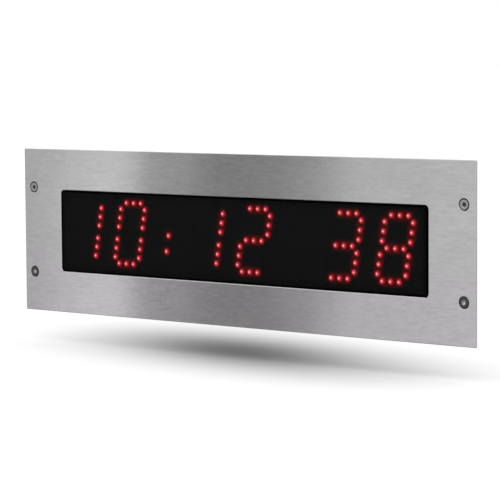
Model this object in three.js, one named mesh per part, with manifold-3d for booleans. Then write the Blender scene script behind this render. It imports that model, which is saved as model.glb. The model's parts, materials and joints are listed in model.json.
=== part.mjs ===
// Flush-mounted LED time clock: a brushed stainless front panel with a smoked window, a stepped
// electronics case behind it, and the frame that is set into the wall. Millimetres.
// X runs to the viewer's right, Y runs back into the wall, Z runs up. The origin is the centre of the
// wall plane, which the seal and the frame's lugs lie on. Depths below are measured from the front face.
import * as THREE from "three";
import { mergeVertices } from "three/addons/utils/BufferGeometryUtils.js";
import Module from "manifold-3d";

const wasm = await Module();
wasm.setup();

// ---- driving dimensions ----
const wallDepth = 5; // from the panel's front face to the wall plane
const panel = { width: 440, height: 130, thickness: 2, radius: 0.6 };
const opening = { width: 359, height: 65, radius: 3.2 };
const digit = { width: 25, height: 47.5, pitchAcross: 7.5, pitchDown: 6.95, slantDeg: 10 };
const led = { radius: 2.5, tipDepth: 2.35, baseDepth: 8.9, sides: 6 };
const display = { centreX: -2.5, centreZ: 0.6, pairHalfPitch: 23 };
const pairCentres = { hours: -128.1, minutes: -2.6, seconds: 128.1 };
const colon = { x: -64.7, drop: 12.2 };
const windowPart = { front: 0.4, skin: 1.6, wall: 1.6, fit: 0.3, flange: 4, flangeFront: 2.6, back: 4.2 };
const mask = { front: 2.9, thickness: 1.2, fit: 0.4, slotRadius: 3 };
const board = { thickness: 1.6, displayDepth: 9.6, controlDepth: 20 };
const caseBox = { halfWidth: 181.5, halfHeight: 38, wall: 2, shallowBack: 16, back: 40, step: -100 };
const cover = { thickness: 2 };
const panelScrew = { x: 209.7, z: 34, headRadius: 4, shankRadius: 1.95, length: 10 };
const stud = { x: 120, z: 42.5, radius: 1.5, length: 10 };
const ear = { halfWidth: 8, top: 47, thickness: 2.5 };
const seal = { halfWidth: 216, halfHeight: 61, width: 2.5 };
const frame = { halfWidth: 186, halfHeight: 52, sheet: 1.5, front: 3.5, back: 20, lugX: 213, lugZ: 46 };
const button = { capRadius: 3, tip: 43.6, travel: 1.2, z: 12, modeX: 118, adjustX: 140 };
const pole = { pitch: 7.5, wireRadius: 1.6, pusher: 3.8, pusherDepth: 8, proud: 1.5 };
const coverScrew = { left: -80, right: 173.5, z: 31.5 };

const slant = Math.tan(THREE.MathUtils.degToRad(digit.slantDeg));
const controlBack = board.controlDepth + board.thickness;
const coverBack = caseBox.back + cover.thickness;

// ---- materials ----
const finish = (color, roughness, metalness = 0) =>
  new THREE.MeshStandardMaterial({ color, roughness, metalness });
const material = {
  stainless: finish(0xb5b5b5, 0.32, 1),
  zinc: finish(0xc2c5c4, 0.4, 1),
  smoked: finish(0x0b0b0c, 0.25),
  rubber: finish(0x101010, 0.9),
  maskBlack: finish(0x151515, 0.8),
  casePlastic: finish(0x1b1b1c, 0.6),
  boardGreen: finish(0x0f4a2c, 0.5),
  ledRed: finish(0xd01525, 0.25),
  packageBlack: finish(0x17171a, 0.5),
  terminalGreen: finish(0x2f7d4a, 0.5),
  releaseOrange: finish(0xe07a1a, 0.5),
  buttonGrey: finish(0x8c8f92, 0.5),
  ribbonGrey: finish(0x9aa0a5, 0.6),
  glass: finish(0xd9e2e2, 0.1),
};

// ---- solids: local Y is depth, local X and Z lie in the panel's plane ----
function solid(geometry) {
  const bare = geometry.clone();
  bare.deleteAttribute("normal");
  bare.deleteAttribute("uv");
  const merged = mergeVertices(bare, 1e-4);
  const vertProperties = new Float32Array(merged.attributes.position.array);
  const triVerts = new Uint32Array(merged.index.array);
  return new wasm.Manifold(new wasm.Mesh({ numProp: 3, vertProperties, triVerts }));
}

function fromSolid(made) {
  const mesh = made.getMesh();
  const geometry = new THREE.BufferGeometry();
  geometry.setAttribute("position", new THREE.BufferAttribute(mesh.vertProperties, 3));
  geometry.setIndex(new THREE.BufferAttribute(mesh.triVerts, 1));
  return geometry;
}

const join = (...shapes) => fromSolid(shapes.map(solid).reduce((all, one) => all.add(one)));
const cut = (base, ...tools) =>
  fromSolid(tools.map(solid).reduce((left, tool) => left.subtract(tool), solid(base)));

function block(x0, x1, y0, y1, z0, z1) {
  const box = new THREE.BoxGeometry(x1 - x0, y1 - y0, z1 - z0);
  return box.translate((x0 + x1) / 2, (y0 + y1) / 2, (z0 + z1) / 2);
}

function centredBlock(x, z, width, height, y0, y1) {
  return block(x - width / 2, x + width / 2, y0, y1, z - height / 2, z + height / 2);
}

// A cylinder or cone along Y, from radius r0 at y0 to radius r1 at y1.
function rod(r0, y0, y1, { x = 0, z = 0, r1 = r0, sides = 16 } = {}) {
  return new THREE.CylinderGeometry(r1, r0, y1 - y0, sides).translate(x, (y0 + y1) / 2, z);
}

function rodAlongX(radius, x0, x1, y, z, sides = 12) {
  const geometry = new THREE.CylinderGeometry(radius, radius, x1 - x0, sides);
  return geometry.rotateZ(Math.PI / 2).translate((x0 + x1) / 2, y, z);
}

function rodAlongZ(radius, z0, z1, x, y, sides = 12) {
  const geometry = new THREE.CylinderGeometry(radius, radius, z1 - z0, sides);
  return geometry.rotateX(Math.PI / 2).translate(x, y, (z0 + z1) / 2);
}

// An outline in X and Z, thickened from y0 to y1.
function plate(shape, y0, y1, curveSegments = 5) {
  const options = { depth: y1 - y0, bevelEnabled: false, curveSegments };
  return new THREE.ExtrudeGeometry(shape, options).rotateX(Math.PI / 2).translate(0, y1, 0);
}

// An outline in Y and Z, thickened from x0 to x1.
function slabAcrossX(shape, x0, x1, curveSegments = 8) {
  const options = { depth: x1 - x0, bevelEnabled: false, curveSegments };
  const turn = new THREE.Matrix4().makeBasis(
    new THREE.Vector3(0, 1, 0),
    new THREE.Vector3(0, 0, 1),
    new THREE.Vector3(1, 0, 0),
  );
  return new THREE.ExtrudeGeometry(shape, options).applyMatrix4(turn).translate(x0, 0, 0);
}

function roundedRect(width, height, radius) {
  const x = width / 2 - radius;
  const z = height / 2 - radius;
  const quarter = Math.PI / 2;
  const shape = new THREE.Shape();
  shape.absarc(x, z, radius, 0, quarter);
  shape.absarc(-x, z, radius, quarter, 2 * quarter);
  shape.absarc(-x, -z, radius, 2 * quarter, 3 * quarter);
  shape.absarc(x, -z, radius, 3 * quarter, 4 * quarter);
  shape.closePath();
  return shape;
}

function ring(outer, inner, y0, y1) {
  outer.holes.push(inner);
  return plate(outer, y0, y1);
}

function place(group, name, geometry, look, x = 0, depth = 0, z = 0) {
  const mesh = new THREE.Mesh(geometry, look);
  mesh.name = name;
  mesh.position.set(x, depth - wallDepth, z);
  group.add(mesh);
}

// Calls make(name prefix, sign in X, sign in Z) for each corner.
function forCorners(make) {
  for (const [side, sx] of [["left", -1], ["right", 1]]) {
    for (const [level, sz] of [["upper", 1], ["lower", -1]]) make(`${level}_${side}`, sx, sz);
  }
}

// ---- front panel, window and seals ----
function frontPanelGeometry() {
  const outline = roundedRect(panel.width, panel.height, panel.radius);
  const sheet = ring(
    outline,
    roundedRect(opening.width, opening.height, opening.radius),
    0,
    panel.thickness,
  );
  const holes = [];
  const countersink = panelScrew.headRadius + 0.4;
  const clearance = panelScrew.shankRadius + 0.35;
  forCorners((_, sx, sz) => {
    const at = { x: sx * panelScrew.x, z: sz * panelScrew.z };
    const slope = countersink - clearance;
    holes.push(rod(clearance, -1, panel.thickness + 1, at));
    holes.push(rod(countersink + 1, -1, slope, { ...at, r1: clearance }));
  });
  return cut(sheet, ...holes);
}

function panelScrewGeometry() {
  const { headRadius, shankRadius, length } = panelScrew;
  const headDepth = headRadius - shankRadius;
  const body = join(
    rod(headRadius, 0, headDepth, { r1: shankRadius }),
    rod(shankRadius, headDepth - 0.2, length),
  );
  return cut(body, rod(1.45, -1, 1.6, { sides: 6 }));
}

function windowGeometry() {
  const { front, skin, wall, fit, flange, flangeFront, back } = windowPart;
  const width = opening.width - 2 * fit;
  const height = opening.height - 2 * fit;
  const radius = opening.radius - fit;
  const boss = plate(roundedRect(width, height, radius), front, back);
  const lip = plate(
    roundedRect(opening.width + 2 * flange, opening.height + 2 * flange, radius + flange),
    flangeFront,
    back,
  );
  const pocket = centredBlock(0, 0, width - 2 * wall, height - 2 * wall, front + skin, back + 1);
  return cut(join(boss, lip), pocket);
}

function windowGasketGeometry() {
  const { flange, flangeFront } = windowPart;
  const outer = roundedRect(opening.width + 2 * flange, opening.height + 2 * flange, flange);
  const inner = roundedRect(opening.width + 0.6, opening.height + 0.6, opening.radius);
  return ring(outer, inner, 0, flangeFront - panel.thickness);
}

function wallSealGeometry() {
  const { halfWidth, halfHeight, width } = seal;
  const outer = roundedRect(2 * halfWidth, 2 * halfHeight, 2);
  const inner = roundedRect(2 * (halfWidth - width), 2 * (halfHeight - width), 1);
  return ring(outer, inner, 0, wallDepth - panel.thickness);
}

function weldStudGeometry() {
  return join(rod(2.2, 0, 0.7, { sides: 12 }), rod(stud.radius, 0.5, stud.length, { sides: 12 }));
}

function nutGeometry(acrossFlats, thickness, boreRadius, sides) {
  const radius = acrossFlats / 2 / Math.cos(Math.PI / sides);
  const body = rod(radius, 0, thickness, { sides }).rotateY(Math.PI / sides);
  return cut(body, rod(boreRadius, -1, thickness + 1, { sides: 12 }));
}

function buildFront(group) {
  place(group, "front_panel", frontPanelGeometry(), material.stainless);
  place(group, "window", windowGeometry(), material.smoked);
  place(group, "window_gasket", windowGasketGeometry(), material.rubber, 0, panel.thickness);
  place(group, "wall_seal", wallSealGeometry(), material.rubber, 0, panel.thickness);
  const screw = panelScrewGeometry();
  const weldStud = weldStudGeometry();
  const studNut = nutGeometry(5.5, 2.4, stud.radius + 0.3, 6);
  const nutDepth = windowPart.back + ear.thickness;
  forCorners((corner, sx, sz) => {
    const [x, z] = [sx * panelScrew.x, sz * panelScrew.z];
    place(group, `${corner}_panel_screw`, screw, material.stainless, x, 0.15, z);
  });
  forCorners((corner, sx, sz) => {
    const [x, z] = [sx * stud.x, sz * stud.z];
    place(group, `${corner}_weld_stud`, weldStud, material.zinc, x, panel.thickness, z);
    place(group, `${corner}_stud_nut`, studNut, material.zinc, x, nutDepth, z);
  });
}

// ---- display: mask, diodes and board ----
// The seven segments of a digit: centre in X and Z, and whether it runs across or down.
const segments = [
  { x: 0, z: digit.height / 2, across: true },
  { x: digit.width / 2, z: digit.height / 4, across: false },
  { x: digit.width / 2, z: -digit.height / 4, across: false },
  { x: 0, z: -digit.height / 2, across: true },
  { x: -digit.width / 2, z: -digit.height / 4, across: false },
  { x: -digit.width / 2, z: digit.height / 4, across: false },
  { x: 0, z: 0, across: true },
];

const leaned = (x, z) => [x + slant * z, z];

function diodePoints() {
  const points = [];
  for (const { x, z, across } of segments) {
    for (const step of [-1, 0, 1]) {
      const dx = across ? step * digit.pitchAcross : 0;
      const dz = across ? 0 : step * digit.pitchDown;
      points.push(leaned(x + dx, z + dz));
    }
  }
  return points;
}

// One diode: a short cylinder with a domed tip, drawn as a frustum.
function diodeGeometry(x, z) {
  const shoulder = led.tipDepth + 1.1;
  return join(
    rod(1.5, led.tipDepth, shoulder, { x, z, r1: led.radius, sides: led.sides }),
    rod(led.radius, shoulder, led.baseDepth, { x, z, sides: led.sides }),
  );
}

// A slanted figure of eight that spaces a digit's diodes off the board.
function spacerGeometry() {
  const reach = led.radius + 0.2;
  const frameOutline = (half, z0, z1) =>
    [[-half, z0], [half, z0], [half, z1], [-half, z1]].map(([x, z]) => leaned(x, z));
  const path = (points) => points.map(([x, z]) => new THREE.Vector2(x, z));
  const [halfWidth, halfHeight] = [digit.width / 2, digit.height / 2];
  const outline = frameOutline(halfWidth + reach, -halfHeight - reach, halfHeight + reach);
  const shape = new THREE.Shape(path(outline));
  for (const [z0, z1] of [[reach, halfHeight - reach], [reach - halfHeight, -reach]]) {
    shape.holes.push(new THREE.Path(path(frameOutline(halfWidth - reach, z0, z1))));
  }
  return plate(shape, led.baseDepth - 0.1, board.displayDepth);
}

function digitGeometry() {
  return join(spacerGeometry(), ...diodePoints().map(([x, z]) => diodeGeometry(x, z)));
}

function colonPoints() {
  return [leaned(0, 0), leaned(0, -colon.drop)];
}

function colonGeometry() {
  const centre = -colon.drop / 2;
  const footDepth = [led.baseDepth - 0.1, board.displayDepth];
  const foot = centredBlock(slant * centre, centre, 7, colon.drop + 6, ...footDepth);
  return join(foot, ...colonPoints().map(([x, z]) => diodeGeometry(x, z)));
}

// A slot with round ends around the line from a to b.
function slotPath([ax, az], [bx, bz], radius) {
  const along = Math.atan2(bz - az, bx - ax);
  const path = new THREE.Path();
  path.absarc(bx, bz, radius, along - Math.PI / 2, along + Math.PI / 2);
  path.absarc(ax, az, radius, along + Math.PI / 2, along + (3 * Math.PI) / 2);
  path.closePath();
  return path;
}

function digitCentres() {
  const { centreX, pairHalfPitch } = display;
  return Object.entries(pairCentres).flatMap(([pair, x]) => [
    [`${pair}_tens_diodes`, centreX + x - pairHalfPitch],
    [`${pair}_units_diodes`, centreX + x + pairHalfPitch],
  ]);
}

function maskGeometry() {
  const inset = 2 * (windowPart.fit + windowPart.wall + mask.fit);
  const shape = roundedRect(opening.width - inset, opening.height - inset, 0.5);
  const { centreX, centreZ } = display;
  for (const [, x] of digitCentres()) {
    for (const segment of segments) {
      const dx = segment.across ? digit.pitchAcross : 0;
      const dz = segment.across ? 0 : digit.pitchDown;
      const [ax, az] = leaned(segment.x - dx, segment.z - dz);
      const [bx, bz] = leaned(segment.x + dx, segment.z + dz);
      const from = [x + ax, centreZ + az];
      const to = [x + bx, centreZ + bz];
      shape.holes.push(slotPath(from, to, mask.slotRadius));
    }
  }
  for (const [x, z] of colonPoints()) {
    const hole = new THREE.Path();
    hole.absarc(centreX + colon.x + x, centreZ + z, mask.slotRadius, 0, 2 * Math.PI);
    shape.holes.push(hole);
  }
  const back = mask.front + mask.thickness;
  const posts = [];
  const postX = [-128, colon.x, -2.6, 62, 128];
  for (const x of postX) {
    for (const z of [-27.3, 27.3]) {
      posts.push(rod(1.5, back - 0.4, board.displayDepth, { x: centreX + x, z, sides: 8 }));
    }
  }
  return join(plate(shape, mask.front, back, 4), ...posts);
}

function ribbonGeometry() {
  // Two plug bodies and the flat cable that bends between them, drawn in X and Y and run along Z.
  const [gapFront, gapBack] = [board.displayDepth + board.thickness, board.controlDepth];
  const [leftX, rightX, halfPlug, plug, strip] = [146, 160, 3, 3.2, 0.9];
  const bend = new THREE.CubicBezierCurve3(
    new THREE.Vector3(leftX + 1, gapFront + plug - 1.2, 0),
    new THREE.Vector3(rightX - 2, gapFront + plug - 1.2, 0),
    new THREE.Vector3(leftX + 2, gapBack - plug + 1.2, 0),
    new THREE.Vector3(rightX - 1, gapBack - plug + 1.2, 0),
  );
  const points = bend.getPoints(10);
  const upper = points.map(({ x, y }) => new THREE.Vector2(x, -y + strip / 2));
  const lower = points.map(({ x, y }) => new THREE.Vector2(x, -y - strip / 2)).reverse();
  const cable = new THREE.ExtrudeGeometry(new THREE.Shape([...lower, ...upper]), {
    depth: 22,
    bevelEnabled: false,
  });
  cable.rotateX(Math.PI).translate(0, 0, 11);
  return join(
    block(leftX - halfPlug, leftX + halfPlug, gapFront, gapFront + plug, -13, 13),
    cable,
    block(rightX - halfPlug, rightX + halfPlug, gapBack - plug, gapBack, -13, 13),
  );
}

function buildDisplay(group) {
  const { centreX, centreZ } = display;
  place(group, "display_mask", maskGeometry(), material.maskBlack);
  const boardShape = roundedRect(350, 64, 2);
  const boardPlate = plate(boardShape, 0, board.thickness, 3);
  place(group, "display_board", boardPlate, material.boardGreen, 0, board.displayDepth);
  const diodes = digitGeometry();
  for (const [name, x] of digitCentres()) {
    place(group, name, diodes, material.ledRed, x, 0, centreZ);
  }
  place(group, "colon_diodes", colonGeometry(), material.ledRed, centreX + colon.x, 0, centreZ);
  place(group, "display_ribbon", ribbonGeometry(), material.ribbonGrey);
}

// ---- case: the body that clamps the window, and its rear cover ----
const connectors = {
  mains: { z0: 9, z1: 31.5, top: 36 },
  signal: { z0: -12, z1: 3, top: 36 },
  network: { z0: -32.5, z1: -16.5, top: 35 },
};
const connectorX = { front: -104, back: -86 };

function caseBodyGeometry() {
  const { halfWidth: w, halfHeight: h, wall, shallowBack, back, step } = caseBox;
  const front = windowPart.back;
  const earBack = front + ear.thickness;
  const ears = [];
  const earHoles = [];
  forCorners((_, sx, sz) => {
    const [x, height] = [sx * stud.x, ear.top - h + wall];
    const middle = sz * (ear.top - height / 2);
    ears.push(centredBlock(x, middle, 2 * ear.halfWidth, height, front, earBack));
    earHoles.push(rod(stud.radius + 0.5, 0, earBack + 1, { x, z: sz * stud.z, sides: 12 }));
  });
  const outer = join(
    block(-w, w, front, shallowBack, -h, h),
    block(step, w, front, back, -h, h),
    ...ears,
  );
  const shell = cut(
    outer,
    block(wall - w, w - wall, front - 1, shallowBack - wall, wall - h, h - wall),
    block(step + wall, w - wall, front - 1, back + 1, wall - h, h - wall),
    ...earHoles,
  );
  return cut(join(shell, ...innerSupports()), ...connectorCutouts(), ...coverScrewPilots());
}

// Ledges that carry the two boards, and posts for the cover's screws.
function innerSupports() {
  const reach = caseBox.halfHeight - 1;
  const made = [];
  for (const sign of [-1, 1]) {
    const ledge = (x, y0, y1) =>
      block(x - 4, x + 4, y0, y1, ...[sign * 30.5, sign * reach].sort((a, b) => a - b));
    const displayBack = board.displayDepth + board.thickness;
    for (const x of [-168, -60, 60, 168]) made.push(ledge(x, displayBack, displayBack + 2.8));
    for (const x of [-60, 60, 150]) made.push(ledge(x, board.controlDepth - 3, board.controlDepth));
    for (const x of [coverScrew.left, coverScrew.right]) {
      const span = [sign * 27.5, sign * reach].sort((a, b) => a - b);
      const [x0, x1] = x < 0 ? [x - 4, x + 4] : [x - 4, caseBox.halfWidth - 1];
      made.push(block(x0, x1, connectorBack() + 1, caseBox.back, ...span));
    }
  }
  return made;
}

const connectorBack = () => Math.max(...Object.values(connectors).map(({ top }) => top));

function connectorCutouts() {
  const gap = 0.4;
  const { step, wall } = caseBox;
  return Object.values(connectors).map(({ z0, z1, top }) =>
    block(step - 1, step + wall + 0.5, controlBack - gap, top + gap, z0 - gap, z1 + gap),
  );
}

function coverScrewPilots() {
  return [-1, 1].flatMap((sign) =>
    [coverScrew.left, coverScrew.right].map((x) =>
      rod(1.5, caseBox.back - 2.5, caseBox.back + 1, { x, z: sign * coverScrew.z, sides: 8 }),
    ),
  );
}

function rearCoverGeometry() {
  const { halfWidth, halfHeight, step, back } = caseBox;
  const width = halfWidth - step;
  const centre = (halfWidth + step) / 2;
  const sheet = plate(roundedRect(width, 2 * halfHeight, 1.5), back, coverBack, 3);
  sheet.translate(centre, 0, 0);
  const clamps = [];
  for (const [x, z] of [[-60, 32.3], [60, 32.3], [-60, -32.3], [60, -32.3], [150, 32.3], [150, -32.3]]) {
    clamps.push(centredBlock(x, z, 3, 3, controlBack, back + 0.5));
  }
  const holes = [button.modeX, button.adjustX].map((x) =>
    rod(button.capRadius + 0.3, back - 1, coverBack + 1, { x, z: button.z }),
  );
  for (const [count, start] of [[9, -72], [5, 36]]) {
    for (let i = 0; i < count; i++) {
      holes.push(centredBlock(start + 5.5 * i, 0, 2.2, 34, back - 1, coverBack + 1));
    }
  }
  for (const sign of [-1, 1]) {
    for (const x of [coverScrew.left, coverScrew.right]) {
      const at = { x, z: sign * coverScrew.z, sides: 12 };
      holes.push(rod(1.8, back - 1, coverBack + 1, at));
    }
  }
  return cut(join(sheet, ...clamps), ...holes);
}

function coverScrewGeometry() {
  const head = rod(2.5, 3.8, 5.6, { r1: 2.1, sides: 12 });
  const slotCut = block(-3, 3, 4.9, 7, -0.4, 0.4);
  return cut(join(rod(1.2, 0, 4, { sides: 8 }), head), slotCut);
}

// A one-screw saddle that holds the supply cables down on the shallow part of the case.
const clamp = { x: -140, z: 8, length: 10, archRadius: 5, leg: 2, foot: 9, screwZ: 8.6 };

function cableClampGeometry() {
  const { archRadius, leg, foot, length } = clamp;
  const outer = archRadius + leg;
  const shape = new THREE.Shape();
  shape.moveTo(0, -outer - 1.5);
  shape.lineTo(2, -outer - 1.5);
  shape.lineTo(2, -outer);
  shape.absarc(2, 0, outer, -Math.PI / 2, Math.PI / 2);
  shape.lineTo(2, outer + foot - leg);
  shape.lineTo(0, outer + foot - leg);
  shape.lineTo(0, archRadius);
  shape.lineTo(2, archRadius);
  shape.absarc(2, 0, archRadius, Math.PI / 2, -Math.PI / 2, true);
  shape.lineTo(0, -archRadius);
  shape.closePath();
  const saddle = slabAcrossX(shape, -length / 2, length / 2, 10);
  const hole = rod(1.9, -1, 4, { z: archRadius + clamp.screwZ - 1, sides: 12 });
  return cut(saddle, hole);
}

function clampScrewGeometry() {
  const head = rod(3, 0, 1.8, { r1: 2.6, sides: 12 });
  return cut(join(head, rod(1.5, -2, 0.3, { sides: 8 })), block(-4, 4, 1.1, 3, -0.45, 0.45));
}

function buildCase(group) {
  place(group, "case_body", caseBodyGeometry(), material.casePlastic);
  place(group, "rear_cover", rearCoverGeometry(), material.casePlastic);
  const screw = coverScrewGeometry();
  const screwDepth = coverBack - 3.8 + 0.05;
  for (const [side, x] of [["left", coverScrew.left], ["right", coverScrew.right]]) {
    for (const [level, sign] of [["upper", 1], ["lower", -1]]) {
      const name = `${level}_${side}_cover_screw`;
      place(group, name, screw, material.zinc, x, screwDepth, sign * coverScrew.z);
    }
  }
  const seat = caseBox.shallowBack;
  const screwZ = clamp.z + clamp.archRadius + clamp.screwZ - 1;
  place(group, "cable_clamp", cableClampGeometry(), material.casePlastic, clamp.x, seat, clamp.z);
  place(group, "clamp_screw", clampScrewGeometry(), material.zinc, clamp.x, seat + 2.05, screwZ);
}

// ---- electronics on the control board ----
function terminalGeometry({ z0, z1, top }, poles) {
  const { front, back } = connectorX;
  const holes = [];
  for (const z of poles) {
    holes.push(rodAlongX(pole.wireRadius, front - 1, front + 9, controlBack + 4.6, z, 8));
    holes.push(centredPusherChannel(z));
  }
  return cut(block(front, back, controlBack, top, z0, z1), ...holes);
}

const pusherDepthLevel = controlBack + 10.4;

function centredPusherChannel(z) {
  const half = pole.pusher / 2 + 0.3;
  const [y, x] = [pusherDepthLevel, connectorX.front];
  return block(x - 1, x + pole.pusherDepth, y - half, y + half, z - half, z + half);
}

// A release pusher stands proud of its block and stops short of its channel's end by its travel.
function pusherGeometry() {
  const half = pole.pusher / 2;
  const length = pole.pusherDepth + pole.proud - button.travel - 0.3;
  const body = block(0, length, -half, half, -half, half);
  return cut(body, block(-1, 0.6, -0.5, 0.5, -half - 1, half + 1));
}

const polesOf = ({ z0, z1 }) => {
  const count = Math.round((z1 - z0) / pole.pitch);
  return Array.from({ length: count }, (_, i) => z0 + pole.pitch * (i + 0.5));
};

function networkSocketGeometry() {
  const { z0, z1, top } = connectors.network;
  const { front } = connectorX;
  const centre = (z0 + z1) / 2;
  const shell = block(front, front + 19, controlBack, top, z0, z1);
  return cut(
    shell,
    block(front - 1, front + 13, controlBack + 2, controlBack + 9.6, centre - 5.9, centre + 5.9),
    block(front - 1, front + 13, controlBack + 9.5, controlBack + 11.4, centre - 2, centre + 2),
  );
}

function switchGeometry() {
  return cut(centredBlock(0, 0, 10, 10, 0, 4.4), rod(2.1, 0.6, 6, { sides: 12 }));
}

// Cap, retaining collar and stem in one moulding, measured back from the control board.
function settingButtonGeometry() {
  const rest = caseBox.back - controlBack - 0.1;
  const [cap, collar] = [button.tip - controlBack, 1.3];
  return join(
    rod(1.7, 2.3, 6.5, { sides: 12 }),
    rod(2.2, 6, rest - collar + 0.1, { sides: 12 }),
    rod(4.4, rest - collar, rest),
    rod(button.capRadius, rest - 0.1, cap - 0.5),
    rod(button.capRadius, cap - 0.5, cap, { r1: button.capRadius - 0.5 }),
  );
}

const fuse = { radius: 2.5, length: 20, height: 6.4 };

function fuseHolderGeometry() {
  const half = fuse.length / 2;
  const clips = [-1, 1].map((sign) => centredBlock(sign * (half - 2), 0, 3.4, 8, 1.5, 9));
  const bed = rodAlongX(fuse.radius + 0.3, -half - 2, half + 2, fuse.height, 0, 12);
  const mouth = centredBlock(0, 0, fuse.length + 4, 4.4, fuse.height, 12);
  return cut(join(centredBlock(0, 0, fuse.length + 5, 9, 0, 2.4), ...clips), bed, mouth);
}

function fuseGeometry() {
  const half = fuse.length / 2;
  const tube = rodAlongX(fuse.radius - 0.25, -half + 1, half - 1, fuse.height, 0, 12);
  const caps = [-1, 1].map((sign) => {
    const [inner, outer] = [sign * (half - 5.4), sign * half].sort((a, b) => a - b);
    return rodAlongX(fuse.radius, inner, outer, fuse.height, 0, 12);
  });
  return join(tube, ...caps);
}

const coin = { radius: 10, thickness: 3.2, floor: 1.1 };

function batteryHolderGeometry() {
  const outer = rod(coin.radius + 2.4, 0, 4, { sides: 24 });
  const pocket = rod(coin.radius + 0.4, coin.floor, 6, { sides: 24 });
  const notch = block(-4, 4, coin.floor, 6, coin.radius - 2, coin.radius + 4);
  return cut(outer, pocket, notch);
}

function coinCellGeometry() {
  const { radius, thickness } = coin;
  const step = 0.6;
  return join(
    rod(radius - 1.2, 0, step + 0.1, { sides: 24 }),
    rod(radius, step, thickness, { sides: 24 }),
  );
}

function capacitorGeometry() {
  return join(
    rod(6.3, 0, 15.5, { sides: 20 }),
    rod(6.3, 15.4, 16, { r1: 5.7, sides: 20 }),
  );
}

function buildElectronics(group) {
  const boardWidth = 272;
  const boardPlate = plate(roundedRect(boardWidth, 66, 1), 0, board.thickness, 3);
  place(group, "control_board", boardPlate, material.boardGreen, 40, board.controlDepth);
  const on = (name, geometry, look, x, z) => place(group, name, geometry, look, x, controlBack, z);
  on("power_module", centredBlock(0, 0, 50, 27, 0, 15.5), material.packageBlack, -46, 16);
  on("fuse_holder", fuseHolderGeometry(), material.packageBlack, -60, -12);
  on("fuse", fuseGeometry(), material.glass, -60, -12);
  on("smoothing_capacitor", capacitorGeometry(), material.packageBlack, -8, 20);
  on("processor", centredBlock(0, 0, 14, 14, 0, 1.6), material.packageBlack, 16, -10);
  const can = plate(roundedRect(11.2, 4.8, 2.39), 0, 3.6, 4);
  on("clock_crystal", can, material.zinc, 34, -20);
  on("battery_holder", batteryHolderGeometry(), material.packageBlack, 82, -6);
  place(group, "backup_cell", coinCellGeometry(), material.stainless, 82, controlBack + coin.floor, -6);
  const switchHousing = switchGeometry();
  on("mode_switch", switchHousing, material.packageBlack, button.modeX, button.z);
  on("adjust_switch", switchHousing, material.packageBlack, button.adjustX, button.z);
  const cap = settingButtonGeometry();
  on("mode_button", cap, material.buttonGrey, button.modeX, button.z);
  on("adjust_button", cap, material.buttonGrey, button.adjustX, button.z);
  buildConnectors(group);
}

function buildConnectors(group) {
  const pusher = pusherGeometry();
  const poleNames = { mains: ["earth", "neutral", "live"], signal: ["minus", "plus"] };
  for (const [kind, names] of Object.entries(poleNames)) {
    const poles = polesOf(connectors[kind]);
    const block3 = terminalGeometry(connectors[kind], poles);
    place(group, `${kind}_terminal`, block3, material.terminalGreen);
    names.forEach((name, i) => {
      const x = connectorX.front - pole.proud;
      place(group, `${name}_release`, pusher, material.releaseOrange, x, pusherDepthLevel, poles[i]);
    });
  }
  place(group, "network_socket", networkSocketGeometry(), material.zinc);
}

// ---- the frame that is set into the wall ----
function wallFrameGeometry() {
  const { halfWidth: w, halfHeight: h, sheet, front, back, lugX, lugZ } = frame;
  const lugs = [-1, 1].map((sign) => {
    const [x0, x1] = [sign * (w - sheet), sign * lugX].sort((a, b) => a - b);
    return block(x0, x1, front, front + sheet, -lugZ, lugZ);
  });
  const collar = block(-w, w, front, back, -h, h);
  const inside = block(sheet - w, w - sheet, front - 1, back + 1, sheet - h, h - sheet);
  const holes = [];
  forCorners((_, sx, sz) => {
    holes.push(rod(3, front - 1, front + sheet + 1, { x: sx * panelScrew.x, z: sz * panelScrew.z }));
    const span = [sz * (h - sheet - 1), sz * (h + 1)].sort((a, b) => a - b);
    holes.push(rodAlongZ(2.2, ...span, sx * 150, (front + back) / 2 + 1));
  });
  return cut(join(cut(collar, inside), ...lugs), ...holes);
}

function buildWallFrame(group) {
  place(group, "wall_frame", wallFrameGeometry(), material.zinc);
  const nut = nutGeometry(7, 3.2, panelScrew.shankRadius + 0.35, 4);
  forCorners((corner, sx, sz) => {
    const [x, z] = [sx * panelScrew.x, sz * panelScrew.z];
    place(group, `${corner}_frame_nut`, nut, material.zinc, x, wallDepth, z);
  });
}

const clock = new THREE.Group();
for (const build of [buildFront, buildDisplay, buildCase, buildElectronics, buildWallFrame]) {
  const group = new THREE.Group();
  build(group);
  clock.add(group);
}

export default clock;
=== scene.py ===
import json
from math import asin, atan2, cos, dist, hypot, pi, radians, sin, tan

import bmesh
import bpy
from mathutils import Matrix, Vector


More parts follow.
